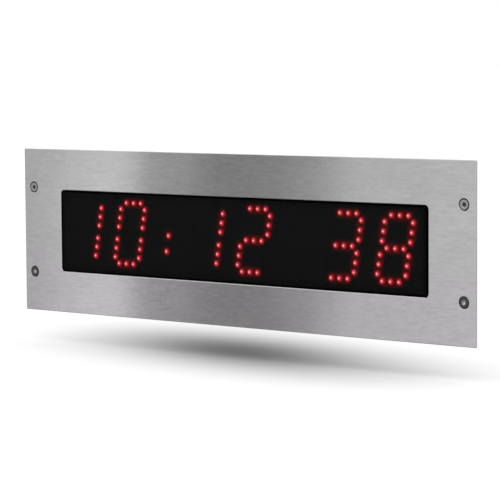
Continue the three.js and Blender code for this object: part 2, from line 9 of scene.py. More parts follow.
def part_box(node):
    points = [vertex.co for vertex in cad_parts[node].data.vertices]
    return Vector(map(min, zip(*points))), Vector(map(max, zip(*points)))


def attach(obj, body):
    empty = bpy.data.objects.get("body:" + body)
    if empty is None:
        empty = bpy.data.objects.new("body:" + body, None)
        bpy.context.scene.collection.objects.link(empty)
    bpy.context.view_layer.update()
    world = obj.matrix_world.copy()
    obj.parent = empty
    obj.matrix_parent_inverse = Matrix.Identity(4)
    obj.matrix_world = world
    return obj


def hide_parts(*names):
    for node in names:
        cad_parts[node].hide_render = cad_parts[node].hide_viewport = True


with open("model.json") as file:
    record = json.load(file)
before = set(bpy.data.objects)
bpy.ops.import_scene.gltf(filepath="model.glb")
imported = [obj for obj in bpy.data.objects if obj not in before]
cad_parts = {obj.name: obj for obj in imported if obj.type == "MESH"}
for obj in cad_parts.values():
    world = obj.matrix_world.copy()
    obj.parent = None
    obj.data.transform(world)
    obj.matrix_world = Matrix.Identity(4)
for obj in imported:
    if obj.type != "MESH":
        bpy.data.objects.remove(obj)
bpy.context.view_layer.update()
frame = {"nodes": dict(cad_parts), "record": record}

# Lengths on the clock are in millimetres and scaled where a mesh is made; the stage is in metres.
# X runs to the viewer's right, Y back into the wall, Z up; depths count back from the panel's face.
MM = 0.001
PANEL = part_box("front_panel")
FACE_Y = PANEL[0].y / MM
WIDTH = (PANEL[1].x - PANEL[0].x) / MM
HEIGHT = (PANEL[1].z - PANEL[0].z) / MM
OPENING = {"width": 359, "height": 65, "radius": 3.2}
WINDOW_GAP = 0.3
COVER_THICKNESS = 2.0
CORNERS = [f"{level}_{side}" for level in ("upper", "lower") for side in ("left", "right")]
PLUG_LENGTH = 6
TERMINALS = {"mains": ("earth", "neutral", "live"), "signal": ("minus", "plus")}

LED_RADIUS = 2.5
GLOW_RADIUS = 3.5
LED_STRENGTH = 96
BAR_FRONT = 4.4
SPACER_FRONT, BOARD_FACE = 8.75, 9.55
DIGIT_WIDTH, DIGIT_HEIGHT = 25, 47.5
STEP_ACROSS, STEP_UP = 7.5, 6.95
SLANT = tan(radians(10))
COLON_DROP = 12.2

NODE_BODY = {node: body for body, nodes in frame["record"]["behaviour"]["bodies"].items() for node in nodes}


def extent(node):
    """A CAD node's box as three (low, high) pairs in millimetres: across, in depth, and up."""
    low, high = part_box(node)
    pairs = [(low[i] / MM, high[i] / MM) for i in range(3)]
    pairs[1] = tuple(value - FACE_Y for value in pairs[1])
    return pairs


def middle(node):
    """The centre of a CAD node's box, in X and Z."""
    x, _, z = extent(node)
    return sum(x) / 2, sum(z) / 2


def spine(node):
    """A CAD node's centre in X and Z, then its front and its back."""
    return middle(node), *extent(node)[1]


def about(centre, half):
    return centre - half, centre + half


# ---- node kit

SOCKETS = {"base": "Base Color", "specular": "Specular IOR Level", "ior": "IOR",
           "transmission": "Transmission Weight", "emission": "Emission Color"}
WHITE = (1, 1, 1, 1)


class Nodes:
    """The node tree of a material or world, with short names for the usual nodes."""

    def __init__(self, owner):
        owner.use_nodes = True
        self.tree = owner.node_tree

    def put(self, socket, value):
        """Links an output to a socket, or sets the socket to a plain value."""
        if isinstance(value, bpy.types.NodeSocket):
            self.tree.links.new(value, socket)
        else:
            socket.default_value = value

    def node(self, kind, **inputs):
        made = self.tree.nodes.new(f"ShaderNode{kind}")
        for name, value in inputs.items():
            self.put(made.inputs[name], value)
        return made

    def place(self, kind="Object", stretch=(1, 1, 1)):
        """Coordinates, by default in metres in the object's own frame, scaled by stretch."""
        where = self.node("TexCoord").outputs[kind]
        return self.node("Mapping", Vector=where, Scale=stretch).outputs["Vector"]

    def axes(self, kind="Object"):
        """The X, Y and Z of a kind of coordinates."""
        return self.node("SeparateXYZ", Vector=self.place(kind)).outputs

    def noise(self, scale, detail=3, roughness=0.5, stretch=(1, 1, 1)):
        where = self.place(stretch=stretch)
        made = self.node("TexNoise", Vector=where, Scale=scale, Detail=detail, Roughness=roughness)
        return made.outputs["Fac"]

    def cells(self, scale):
        """Three random values, each the same all over a cell."""
        made = self.node("TexVoronoi", Vector=self.place(), Scale=scale)
        return self.node("SeparateColor", Color=made.outputs["Color"]).outputs

    def math(self, operation, *values):
        made = self.node("Math")
        made.operation = operation
        for socket, value in zip(made.inputs, values):
            self.put(socket, value)
        return made.outputs[0]

    def blend(self, first, second, share):
        """Share of the second value with the rest of the first."""
        return self.math("MULTIPLY_ADD", second, share, self.math("MULTIPLY", first, 1 - share))

    def ramp(self, value, *stops, interpolation="LINEAR"):
        """A colour ramp; a stop is a position with a colour, or with one number for a grey."""
        made = self.node("ValToRGB", Fac=value)
        made.color_ramp.interpolation = interpolation
        elements = made.color_ramp.elements
        while len(elements) < len(stops):
            elements.new(0.5)
        for element, (position, colour) in zip(elements, stops):
            element.position = position
            element.color = (*colour, 1) if isinstance(colour, tuple) else (colour, colour, colour, 1)
        return made.outputs["Color"]

    def span(self, value, low, high, start=0, end=1):
        """Maps start..end to low..high."""
        limits = {"From Min": start, "From Max": end, "To Min": low, "To Max": high}
        return self.node("MapRange", Value=value, **limits).outputs["Result"]

    def mix(self, share, first, second):
        """A colour between two others."""
        made = self.node("Mix")
        made.data_type = "RGBA"
        self.put(made.inputs["Factor"], share)
        for socket, value in ((made.inputs[6], first), (made.inputs[7], second)):
            self.put(socket, (*value, 1) if isinstance(value, tuple) else value)
        return made.outputs[2]


class Surface(Nodes):
    """A material around one Principled shader."""

    def __init__(self, name, **values):
        self.material = bpy.data.materials.new(name)
        super().__init__(self.material)
        self.set(**values)

    def set(self, **values):
        """Sets the shader's inputs by their names in lower case, or by the short ones in SOCKETS."""
        inputs = self.tree.nodes["Principled BSDF"].inputs
        for key, value in values.items():
            self.put(inputs[SOCKETS.get(key, key.replace("_", " ").title())], value)

    def bump(self, height, depth, strength=1):
        """Raises the surface by up to depth millimetres."""
        made = self.node("Bump", Height=height, Distance=depth * MM, Strength=strength)
        self.set(normal=made.outputs["Normal"])


# ---- camera, light and stage

def add_object(name, data):
    made = bpy.data.objects.new(name, data)
    bpy.context.scene.collection.objects.link(made)
    return made


def make_camera():
    azimuth, elevation, roll = (radians(a) for a in (40.05, 4.57, -0.38))
    distance, shift_right, shift_down = 1.7677, 0.01292, 0.00707
    forward = Vector((-sin(azimuth) * cos(elevation),
                      cos(azimuth) * cos(elevation),
                      -sin(elevation)))
    level = Vector((cos(azimuth), sin(azimuth), 0))
    right = level * cos(roll) + level.cross(forward) * sin(roll)
    up = right.cross(forward)
    place = Vector((0, PANEL[0].y, 0)) - forward * distance + right * shift_right - up * shift_down
    data = bpy.data.cameras.new("camera")
    data.sensor_width = 36
    data.lens = 170.2
    camera = add_object("camera", data)
    camera.matrix_world = Matrix.Translation(place) @ Matrix((right, up, -forward)).transposed().to_4x4()
    bpy.context.scene.camera = camera
    return place


def make_world():
    """White where the camera looks straight at it; elsewhere dim, with a bright ceiling and right side."""
    studio = bpy.data.worlds.new("studio")
    world = Nodes(studio)
    toward = world.axes("Generated")
    ceiling = world.span(toward["Z"], 0.35, 1.3, 0.15, 0.7)
    right_side = world.span(toward["X"], 0, 0.35, 0.35, 0.6)
    light = world.math("ADD", ceiling, right_side)
    seen = world.node("LightPath").outputs["Is Camera Ray"]
    background = world.tree.nodes["Background"].inputs
    background["Color"].default_value = WHITE
    world.put(background["Strength"], world.node("Mix", Factor=seen, A=light, B=1).outputs["Result"])
    bpy.context.scene.world = studio


def card_glow(name, stops, strength, fade):
    """An emitter that follows a ramp from its left edge to its right edge and fades away at both."""
    material = bpy.data.materials.new(name)
    glow = Nodes(material)
    glow.tree.nodes.clear()
    along = glow.axes("Generated")["X"]
    light = glow.node("Emission", Color=glow.ramp(along, *stops, interpolation="EASE"), Strength=strength)
    edges = glow.ramp(along, (0, 0), (fade, 1), (1 - fade, 1), (1, 0), interpolation="EASE")
    join = glow.node("MixShader", Fac=edges)
    glow.put(join.inputs[1], glow.node("BsdfTransparent").outputs["BSDF"])
    glow.put(join.inputs[2], light.outputs["Emission"])
    glow.node("OutputMaterial", Surface=join.outputs["Shader"])
    return material


def stage_card(name, half_width, half_height, material, hidden_from):
    """A flat card in its own X-Y plane, part of the stage, which the kinds of ray named don't see."""
    bm = bmesh.new()
    corners = ((-1, -1), (1, -1), (1, 1), (-1, 1))
    bm.faces.new([bm.verts.new((x * half_width, y * half_height, 0)) for x, y in corners])
    mesh = bpy.data.meshes.new(name)
    bm.to_mesh(mesh)
    bm.free()
    mesh.materials.append(material)
    card = add_object(name, mesh)
    for ray in hidden_from:
        setattr(card, f"visible_{ray}", False)
    return card


def make_reflector(camera_at):
    """A tall graded card to the left of the camera, seen only in the steel's reflection."""
    distance, spare, fade = 0.4, 1.6, 0.16
    camera_y = PANEL[0].y - camera_at.y
    half_width = spare * (WIDTH * MM / 2) * (1 + distance / camera_y)
    tones = [(0, 0.74), (0.2, 1.0), (0.24, 0.95), (0.31, 0.5), (0.37, 0.5), (0.46, 0.35), (0.58, 0.39),
             (0.65, 0.52), (0.76, 0.84), (1, 0.88)]
    stops = [((position + (spare - 1) / 2) / spare, level) for position, level in tones]
    card = stage_card("reflector", half_width, 1.2, card_glow("reflector_glow", stops, 0.83, fade),
                      ("camera", "diffuse", "transmission", "shadow", "volume_scatter"))
    card.location = (-distance * camera_at.x / camera_y, PANEL[0].y - distance, 0)
    card.rotation_euler = (pi / 2, radians(4), 0)


def make_floor():
    """Pale paper, lit partly from within, under a clear sheet that only the camera sees, with a soft grey
    patch: a painted shadow.
    """
    gap, lift, lean = 0.024, 0.0005, 0.84
    reach_along, reach_behind, reach_ahead = 0.138, 0.091, 0.085
    pale = Surface("floor_paper", roughness=0.9, specular=0, emission=WHITE, emission_strength=0.5)
    pale.set(base=pale.ramp(pale.noise(400, 2), (0, 0.465), (1, 0.475)))
    floor = stage_card("floor", 40, 40, pale.material, ["glossy"])
    floor.location.z = PANEL[0].z - gap
    # The sheet's alpha is a soft dark bell: the painted shadow under the clock.
    shade = Surface("shadow_sheet", base=(0, 0, 0, 1), roughness=1, specular=0)
    at = shade.axes()
    along = shade.math("DIVIDE", shade.math("MULTIPLY_ADD", at["Y"], lean, at["X"]), reach_along)
    sides = [shade.math("DIVIDE", at["Y"], reach) for reach in (reach_behind, -reach_ahead)]
    across = shade.math("MAXIMUM", *sides)
    squares = [shade.math("MULTIPLY", value, value) for value in (along, across)]
    bell = shade.math("EXPONENT", shade.math("MULTIPLY", shade.math("ADD", *squares), -1))
    shade.set(alpha=shade.math("MULTIPLY", bell, 0.8))
    unseen_by = ("diffuse", "glossy", "transmission", "shadow")
    sheet = stage_card("shadow_sheet", 0.8, 0.5, shade.material, unseen_by)
    sheet.location = (-0.025, 0.032, floor.location.z + lift)


def make_lights():
    """One very broad light from overhead, as from a white ceiling."""
    data = bpy.data.lights.new("ceiling", "SUN")
    data.angle = radians(75)
    data.energy = 0.5
    light = add_object("ceiling", data)
    light.rotation_euler = (radians(8), radians(-4), 0)
    light.visible_glossy = False


# ---- materials

def brushed_steel():
    """Short fine scratches along X: brightness, roughness and height change across them most."""
    steel = Surface("brushed_steel", metallic=1, anisotropic=1, anisotropic_rotation=0.25)
    fine = steel.noise(1500, 3, 0.7, (0.16, 1, 1))
    dashes = steel.noise(520, 4, 0.65, (0.24, 1, 1))
    cloudy = steel.noise(26, 2, 0.5, (0.6, 1, 1))
    grain = steel.blend(fine, dashes, 0.6)
    tone = steel.blend(cloudy, grain, 0.8)
    # Towards the bottom the base colour turns faintly pinkish: a painted reflection tint.
    height = steel.axes()["Z"]
    reflection_tint_share = steel.ramp(steel.math("MULTIPLY_ADD", height, -8, 0.5), (0.2, 0), (0.8, 1))
    grey = steel.ramp(tone, (0.3, 0.53), (0.5, 0.63), (0.7, 0.724))
    tinted_reflection = steel.ramp(tone, (0.3, (0.535, 0.515, 0.535)), (0.5, (0.635, 0.615, 0.635)),
                      (0.7, (0.73, 0.71, 0.73)))
    steel.bump(fine, 0.004, 0.4)
    tangent = steel.node("Tangent")
    tangent.direction_type = "UV_MAP"
    tangent.uv_map = "UVMap"
    steel.set(base=steel.mix(reflection_tint_share, grey, tinted_reflection), roughness=steel.span(grain, 0.15, 0.22),
              tangent=tangent.outputs["Tangent"])
    return steel.material


def bare_metal(name, dark, light, roughness=(0.2, 0.34), grain=1500):
    """Machined or cast metal with a fine uneven grain."""
    metal = Surface(name, metallic=1)
    fine = metal.noise(grain)
    metal.set(base=metal.ramp(fine, (0.3, dark), (0.7, light)), roughness=metal.span(fine, *roughness))
    metal.bump(fine, 0.01, 0.3)
    return metal.material


def smoked_acrylic():
    """Lets about an eighth of the light through; towards its rim it darkens to black, a painted shade of the
    opening's edge, wider on the right and at the top.
    """
    # Widths in mm of the black band of painted shade at the left, right, lower and upper rims, and the length
    # of its fade.
    left, right, lower, upper, fade = 1.6, 2.4, 0.8, 1.1, 6
    smoke = Surface("smoked_acrylic", specular=0.05)
    grain = smoke.noise(2200, 2)
    smoke.bump(grain, 0.004, 0.4)
    where = smoke.axes()
    inward = []
    for axis, size, near, far in (("X", "width", left, right), ("Z", "height", lower, upper)):
        half = OPENING[size] / 2 - WINDOW_GAP
        ends = (smoke.math("ADD", where[axis], (half - near) * MM),
                smoke.math("SUBTRACT", (half - far) * MM, where[axis]))
        inward.append(smoke.math("MINIMUM", *ends))
    share = smoke.math("MULTIPLY", smoke.math("MINIMUM", *inward), 1 / (fade * MM))
    # clear is 0 in the painted shade at the rim and 1 away from it.
    clear = smoke.ramp(share, (0, 0), (0.12, 0.55), (1, 1))
    shade = smoke.ramp(grain, (0.35, (0.0044, 0.0044, 0.0045)), (0.65, (0.0056, 0.0056, 0.0057)))
    smoke.set(base=smoke.mix(clear, (0, 0, 0), shade), alpha=smoke.span(clear, 1, 0.87),
              roughness=smoke.span(grain, 0.42, 0.52))
    return smoke.material


def moulded(name, dark, light, roughness=(0.5, 0.62), grain=1600, depth=0.02, specular=0.4):
    """Plastic with a fine spark-eroded skin and a faint change of tone over its length."""
    skin = Surface(name, specular=specular)
    fine = skin.noise(grain, 4, 0.6)
    tone = skin.blend(skin.noise(30, 2), fine, 0.6)
    skin.set(base=skin.ramp(tone, (0.35, dark), (0.65, light)), roughness=skin.span(fine, *roughness))
    skin.bump(fine, depth, 0.6)
    return skin.material


def zinc_plate():
    """Galvanised sheet: flat crystals, each with a tone and gloss of its own."""
    zinc = Surface("galvanised_zinc", metallic=1)
    crystal = zinc.cells(140)[0]
    zinc.set(base=zinc.ramp(crystal, (0, (0.44, 0.46, 0.47)), (1, (0.68, 0.7, 0.7))),
             roughness=zinc.span(crystal, 0.32, 0.5))
    zinc.bump(zinc.noise(700), 0.012, 0.3)
    return zinc.material


def printed_board():
    """Green solder mask over copper tracks, with the weave of the laminate just showing."""
    board = Surface("circuit_board", specular=0.5)
    where = board.axes()
    bricks = {"Scale": 260, "Mortar Size": 0.08, "Mortar Smooth": 0.1, "Brick Width": 5.3, "Row Height": 0.4}
    runs = []
    for across, up in (("X", "Z"), ("Z", "X")):
        flat = board.node("CombineXYZ", X=where[across], Y=where[up]).outputs["Vector"]
        runs.append(board.node("TexBrick", Vector=flat, **bricks).outputs["Fac"])
    patch = board.cells(95)
    upright = board.math("GREATER_THAN", patch[0], 0.55)
    routed = board.math("GREATER_THAN", patch[1], 0.35)
    copper = board.math("MULTIPLY", board.mix(upright, *runs), routed)
    weave = board.noise(1400, 2)
    mask = board.ramp(weave, (0.3, (0.008, 0.05, 0.026)), (0.7, (0.012, 0.075, 0.036)))
    board.set(base=board.mix(copper, mask, (0.02, 0.13, 0.06)), roughness=board.span(weave, 0.28, 0.42))
    board.bump(copper, 0.03, 0.4)
    return board.material


def clear_glass():
    glass = Surface("fuse_glass", transmission=1, ior=1.5)
    haze = glass.noise(700, 2)
    glass.set(base=glass.ramp(haze, (0.3, (0.86, 0.92, 0.9)), (0.7, (0.95, 0.98, 0.97))),
              roughness=glass.span(haze, 0.02, 0.07))
    return glass.material


def lit_well():
    """The black mask in and around the slots of lit diodes, with their light on it painted as a faint red
    glow.
    """
    well = Surface("lit_well", roughness=0.8, specular=0.1, emission_strength=LED_STRENGTH)
    away = well.axes("UV")["X"]
    # The emission is painted light, strongest at a slot's mouth and gone at reach.
    well.set(base=well.ramp(well.noise(1200), (0.3, (0.07, 0.06, 0.06)), (0.7, (0.11, 0.1, 0.1))),
             emission=well.ramp(away, (0, (0.021, 0, 0)), (0.5, (0.012, 0, 0)), (1, 0)))
    return well.material


def led_lens(name, lit):
    """Red epoxy. A lit one glows by the distance from its axis, brightest and palest in its middle."""
    lens = Surface(name, roughness=0.3, specular=0.4)
    lens.set(base=lens.ramp(lens.noise(900, 1), (0.3, (0.05, 0.002, 0.003)), (0.7, (0.09, 0.004, 0.006))))
    if lit:
        from_axis = lens.node("VectorMath", Vector=lens.place("UV"))
        from_axis.operation = "DISTANCE"
        from_axis.inputs[1].default_value = (0.5, 0.5, 0)
        radius = lens.math("MULTIPLY", from_axis.outputs["Value"], 2)
        glow = lens.ramp(radius, (0, (1.0, 0.54, 0.58)), (0.21, (0.48, 0.055, 0.07)),
                         (0.43, (0.31, 0.015, 0.022)), (0.64, (0.135, 0.003, 0.005)),
                         (0.72, (0.05, 0, 0)), (0.84, (0.024, 0, 0)))
        lens.set(emission=glow, emission_strength=LED_STRENGTH)
    return lens.material


MATERIALS = {
    "steel": brushed_steel(),
    "turned": bare_metal("turned_steel", (0.5, 0.5, 0.51), 0.66),
    "screw": bare_metal("screw_steel", (0.36, 0.36, 0.365), 0.54),
    # The lower screw heads' steel, much darker than the upper ones': painted shade.
    "shaded_screw": bare_metal("shaded_screw_steel", (0.07, 0.07, 0.072), 0.15, (0.28, 0.42)),
    # Dark steel: painted shade in the countersinks, under the screw heads and in the upper screws' sockets.
    "cut": bare_metal("recess_shaded_steel", 0.07, 0.13, (0.4, 0.55)),
    "smoke": smoked_acrylic(),
    # Near black and without gloss: painted shade on the window's rim, in the gap between window and panel.
    "border": moulded("window_rim_painted_shade", 0.0001, 0.0004, (0.8, 0.9), 900, 0.01, 0),
    "rubber": moulded("seal_rubber", 0.006, 0.014, (0.7, 0.85), 900, 0.03, 0.2),
    "mask": moulded("mask_black", 0.07, 0.11, (0.7, 0.85), 1200, 0.02, 0.1),
    "case": moulded("case_black", (0.012, 0.012, 0.013), (0.022, 0.022, 0.024)),
    "package": moulded("package_black", (0.01, 0.01, 0.011), (0.02, 0.02, 0.021), (0.45, 0.6), 2500, 0.01),
    "green": moulded("terminal_green", (0.02, 0.17, 0.06), (0.03, 0.22, 0.08)),
    "orange": moulded("release_orange", (0.7, 0.17, 0.012), (0.8, 0.22, 0.02)),
    "grey": moulded("button_grey", (0.24, 0.25, 0.26), (0.3, 0.31, 0.32)),
    "ribbon": moulded("ribbon_grey", (0.28, 0.3, 0.32), (0.36, 0.38, 0.4)),
    "zinc": zinc_plate(),
    "board": printed_board(),
    "lit": led_lens("led_lit", True),
    "unlit": led_lens("led_unlit", False),
    "well": lit_well(),
    "glass": clear_glass(),
    "gold": bare_metal("gold_contact", (0.72, 0.47, 0.16), (0.9, 0.64, 0.28), (0.2, 0.32)),
    "solder": bare_metal("solder", (0.5, 0.5, 0.52), (0.74, 0.74, 0.76), (0.22, 0.4), 2600),
    "ceramic": moulded("ceramic_tan", (0.33, 0.2, 0.1), (0.45, 0.3, 0.16), (0.5, 0.6), 2500, 0.01),
    "sleeve": moulded("capacitor_sleeve", (0.006, 0.008, 0.03), (0.012, 0.016, 0.05), (0.3, 0.4), 2500,
                      0.005),
}


# ---- mesh kit
# A ring is an outline of (x, z) points at one depth: ring = (points, depth). A shape is a function that
# gives an outline moved inwards by a distance.

def rounded_rect(width, height, radius, x=0, z=0, steps=6):
    points = []
    radius = max(radius, 0.01)
    for quarter, (sx, sz) in enumerate(((1, 1), (-1, 1), (-1, -1), (1, -1))):
        cx, cz = sx * (width / 2 - radius), sz * (height / 2 - radius)
        for i in range(steps + 1):
            angle = (quarter + i / steps) * pi / 2
            points.append((x + cx + radius * cos(angle), z + cz + radius * sin(angle)))
    return points


def polar(x, z, steps, radius_at):
    """Points at even angles around (x, z), each as far out as radius_at gives for its angle."""
    angles = [2 * pi * i / steps for i in range(steps)]
    return [(x + radius_at(angle) * cos(angle), z + radius_at(angle) * sin(angle)) for angle in angles]


def circle(radius, x, z, steps=48):
    return polar(x, z, steps, lambda angle: radius)


def polygon(across, sides, x, z, steps=48):
    """A regular polygon by its width across flats, as points at even angles."""
    corner = pi / sides
    return polar(x, z, steps, lambda angle: across / 2 / cos((angle + corner) % (2 * corner) - corner))


def rect_shape(width, height, radius, x=0, z=0, steps=6):
    return lambda inset: rounded_rect(width - 2 * inset, height - 2 * inset, radius - inset, x, z, steps)


def box_shape(x, z, radius, steps=6):
    """The shape of a rounded rectangle between two values of x and two of z."""
    return rect_shape(x[1] - x[0], z[1] - z[0], radius, sum(x) / 2, sum(z) / 2, steps)


def edge_rings(shape, front, back, bevel):
    """Rings of a straight wall with rounded edges."""
    turn = [(bevel * (1 - sin(a)), bevel * (1 - cos(a))) for a in (0, pi / 4, pi / 2)]
    return shaped(shape, two_ended(front, turn, back, turn[::-1]))


def two_ended(front, near, back, far):
    """A profile of (size, depth) pairs: near ones given behind the front, far ones before the back."""
    return [(size, front + d) for size, d in near] + [(size, back - d) for size, d in far]


def shaped(shape, profile):
    """Rings of a shape; profile holds (inset, depth) pairs."""
    return [(shape(inset), depth) for inset, depth in profile]


def turned(at, profile, steps=48):
    """Rings of a round shape whose axis runs in depth; profile holds its (radius, depth) pairs."""
    return [(circle(radius, *at, steps), depth) for radius, depth in profile]


def thread_rings(at, radius, pitch, start, end, steps=24, per_turn=6):
    """Rings of a screw thread: the radius rises and falls once for each turn of the helix."""
    count = int((end - start) / pitch * per_turn)
    depths = [start + (end - start) * k / count for k in range(count + 1)]

    def flank(depth):
        return lambda angle: radius - 0.3 * pitch * abs(2 * ((depth / pitch - angle / 2 / pi) % 1) - 1)

    return [(polar(*at, steps, flank(depth)), depth) for depth in depths]


def new_verts(bm, points):
    """Vertices at (x, depth, z)."""
    return [bm.verts.new((x * MM, (FACE_Y + depth) * MM, z * MM)) for x, depth, z in points]


def join(bm, first, second, material):
    """A band of quads between two rings of vertices."""
    for i in range(len(first)):
        j = (i + 1) % len(first)
        bm.faces.new((first[i], first[j], second[j], second[i])).material_index = material


def cap(bm, material, *rings):
    for ring in rings:
        bm.faces.new(ring).material_index = material


def add_wall(bm, rings, material=0, closed=False):
    """Joins each ring to the next, and the last to the first where closed; returns their vertices."""
    made = [new_verts(bm, [(x, depth, z) for x, z in points]) for points, depth in rings]
    for first, second in zip(made, made[1:] + (made[:1] if closed else [])):
        join(bm, first, second, material)
    return made


def add_loft(bm, rings, material=0):
    """A solid through the rings, capped at both ends."""
    made = add_wall(bm, rings, material)
    cap(bm, material, made[0], made[-1])


def add_disc(bm, at, profile, material=0, steps=48):
    add_loft(bm, turned(at, profile, steps), material)


def add_plate(bm, walls, pockets=(), material=0, lit=()):
    """A plate bounded by walls from front to back; pockets are blind walls that start at the back face.

    The walls whose indexes are in lit take material 1.
    """
    fronts, backs = [], []
    for index, rings in enumerate(walls):
        made = add_wall(bm, rings, 1 if index in lit else material)
        fronts.append(made[0])
        backs.append(made[-1])
    for rings in pockets:
        made = add_wall(bm, rings, material)
        backs.append(made[0])
        cap(bm, material, made[-1])
    for loops in (fronts, backs):
        edges = [bm.edges.get(ends) for loop in loops for ends in zip(loop, loop[1:] + loop[:1])]
        made = bmesh.ops.triangle_fill(bm, use_beauty=True, use_dissolve=False, edges=edges)
        for item in made["geom"]:
            if isinstance(item, bmesh.types.BMFace):
                item.material_index = material


def add_block(bm, x, depths, z, ease=0.15, material=0):
    """A block between two values in x, depth and z, with eased edges."""
    add_loft(bm, edge_rings(box_shape(x, z, 1.5 * ease, 2), *depths, ease), material)


def add_bar(bm, start, end, width, thick, material=0):
    """A straight flat bar between two (x, depth, z) points, width along Z."""
    side = Vector((0, 0, width / 2))
    up = (Vector(end) - Vector(start)).cross(side).normalized() * thick / 2
    corners = [s * side + t * up for s, t in ((-1, -1), (1, -1), (1, 1), (-1, 1))]
    first, second = (new_verts(bm, [Vector(at) + corner for corner in corners]) for at in (start, end))
    join(bm, first, second, material)
    cap(bm, material, first, second)


def turn_to_side(bm):
    """Lays a shape drawn in (depth, z) on its side: swaps X with the depth from the panel."""
    for vert in bm.verts:
        x, y, z = vert.co
        vert.co = (y - FACE_Y * MM, x + FACE_Y * MM, z)


def set_uvs(bm, faces, uv_at):
    """Gives faces their UVs: uv_at(x, z) is a point's place in them."""
    uv = bm.loops.layers.uv.get("UVMap") or bm.loops.layers.uv.new("UVMap")
    for face in faces:
        for loop in face.loops:
            loop[uv].uv = uv_at(*(loop.vert.co.xz / MM))


def finish(name, bm, materials, replaces, smooth=35):
    """Turns a bmesh into the piece that stands for a CAD node, smooth but for its sharper edges."""
    bmesh.ops.remove_doubles(bm, verts=bm.verts, dist=1e-7)
    bmesh.ops.recalc_face_normals(bm, faces=bm.faces)
    for face in bm.faces:
        face.smooth = True
    for edge in bm.edges:
        if len(edge.link_faces) == 2 and edge.calc_face_angle(0) > radians(smooth):
            edge.smooth = False
    mesh = bpy.data.meshes.new(name)
    bm.to_mesh(mesh)
    bm.free()
    for key in materials.split():
        mesh.materials.append(MATERIALS[key])
    piece = add_object(name, mesh)
    flats = piece.modifiers.new("flats_keep_their_normals", "WEIGHTED_NORMAL")
    flats.weight = 100
    flats.keep_sharp = True
    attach(piece, NODE_BODY[replaces])
    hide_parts(replaces)


def rounded_copy(name, node, materials, ease, pick=lambda place: 0):
    """The CAD solid with its flat faces merged and its sharp edges rounded; pick gives a face's material."""
    bm = bmesh.new()
    bm.from_mesh(frame["nodes"][node].data)
    bmesh.ops.remove_doubles(bm, verts=bm.verts, dist=2e-6)
    bmesh.ops.dissolve_limit(bm, angle_limit=radians(1), verts=bm.verts, edges=bm.edges)
    sharp = [edge for edge in bm.edges
             if len(edge.link_faces) == 2 and edge.calc_face_angle(0) > radians(36)]
    bmesh.ops.bevel(bm, geom=sharp, offset=ease * MM, offset_type="OFFSET", segments=2, profile=0.5,
                    affect="EDGES", clamp_overlap=True, material=-1)
    for face in bm.faces:
        face.material_index = pick(face.calc_center_median() / MM)
    finish(name, bm, materials, node)


# ---- front: panel, screws, window

def make_panel():
    """The sheet with broken edges, the window opening and four countersinks, their walls dark with painted
    shade.
    """
    thickness, ease, shade_from_depth = 2.0, 0.45, 0.4
    walls = []
    for shape, inset in ((rect_shape(WIDTH, HEIGHT, 1), ease), (rect_shape(**OPENING, steps=10), -ease)):
        profile = two_ended(0, ((inset, 0), (0, ease)), thickness, ((0, ease), (inset, 0)))
        walls.append(shaped(shape, profile))
    for corner in CORNERS:
        sink = ((4.65, 0), (4.4, 0.22), (2.75, 1.95), (2.75, thickness))
        walls.append(turned(middle(f"{corner}_panel_screw"), sink, 64))
    bm = bmesh.new()
    add_plate(bm, walls)
    # Below its top lip each countersink's wall takes material 1: painted shade.
    for face in bm.faces:
        x, y, _ = face.calc_center_median() / MM
        in_wall = len(face.verts) == 4
        if in_wall and OPENING["width"] / 2 + 10 < abs(x) < WIDTH / 2 - 2 and y > FACE_Y + shade_from_depth:
            face.material_index = 1
    set_uvs(bm, bm.faces, lambda x, z: (2 * x * MM + 0.5, 2 * z * MM + 0.5))
    finish("brushed_panel", bm, "steel cut", "front_panel", smooth=20)


def make_panel_screws():
    """Countersunk M4 screws with six-sided sockets, drilled to a cone, and rolled threads."""
    head, core, top, socket = 4.0, 1.95, 0.15, 2.9
    for corner in CORNERS:
        at = middle(f"{corner}_panel_screw")
        disc = lambda radius, depth: (circle(radius, *at), top + depth)
        hexagon = lambda across, depth: (polygon(across, 6, *at), top + depth)
        # Copies of one screw: the lower ones take a darker head and a bright socket, the upper ones a dark
        # socket; painted shade and painted highlight.
        face, bowl = ("screw", 1) if corner.startswith("upper") else ("shaded_screw", 2)
        bm = bmesh.new()
        cone = add_wall(bm, [disc(0.15, 2.0), disc(1.35, 0.95), hexagon(socket, 0.9),
                             hexagon(socket, 0.25)], bowl)
        cap(bm, bowl, cone[0])
        rim = hexagon(socket + 0.4, 0.04)
        add_wall(bm, [hexagon(socket, 0.25), rim], 2)
        edge = disc(head - 0.5, 0.04)
        add_wall(bm, [rim, disc(2.0, 0), disc(head - 0.75, 0), edge])
        under = add_wall(bm, [edge, disc(head - 0.2, 0.2), disc(head - 0.04, 0.42), disc(head, 0.6),
                              disc(core, 2.4)], 1)
        cap(bm, 1, under[-1])
        add_loft(bm, thread_rings(at, core, 0.7, top + 2.2, 9.9) + turned(at, [(1.35, 10.1)], 24))
        finish(f"{corner}_socket_screw", bm, f"{face} cut turned", f"{corner}_panel_screw")


def make_window():
    """A tray of smoked acrylic that fills the opening; its near-black rim is painted shade in the gap around
    it.
    """
    boss = rect_shape(**OPENING, steps=10)
    flange = rect_shape(367, 73, 5.9, steps=10)
    pocket = rect_shape(355.2, 61.2, 0.6, steps=10)
    bm = bmesh.new()
    face = shaped(boss, [(WINDOW_GAP + inset, depth) for inset, depth in
                         ((1.1, 0.4), (0.4, 0.4), (0.12, 0.48), (0, 0.75), (0, 2.6))])
    # Every wall takes material 1, the near-black painted shade of the gap; only the face and the pocket's
    # floor are smoke.
    made = add_wall(bm, face + shaped(flange, ((0, 2.6), (0, 4.2))) + shaped(pocket, ((0, 4.2), (0, 2))), 1)
    cap(bm, 0, made[0], made[-1])
    finish("smoked_window", bm, "smoke border", "window")


# ---- display

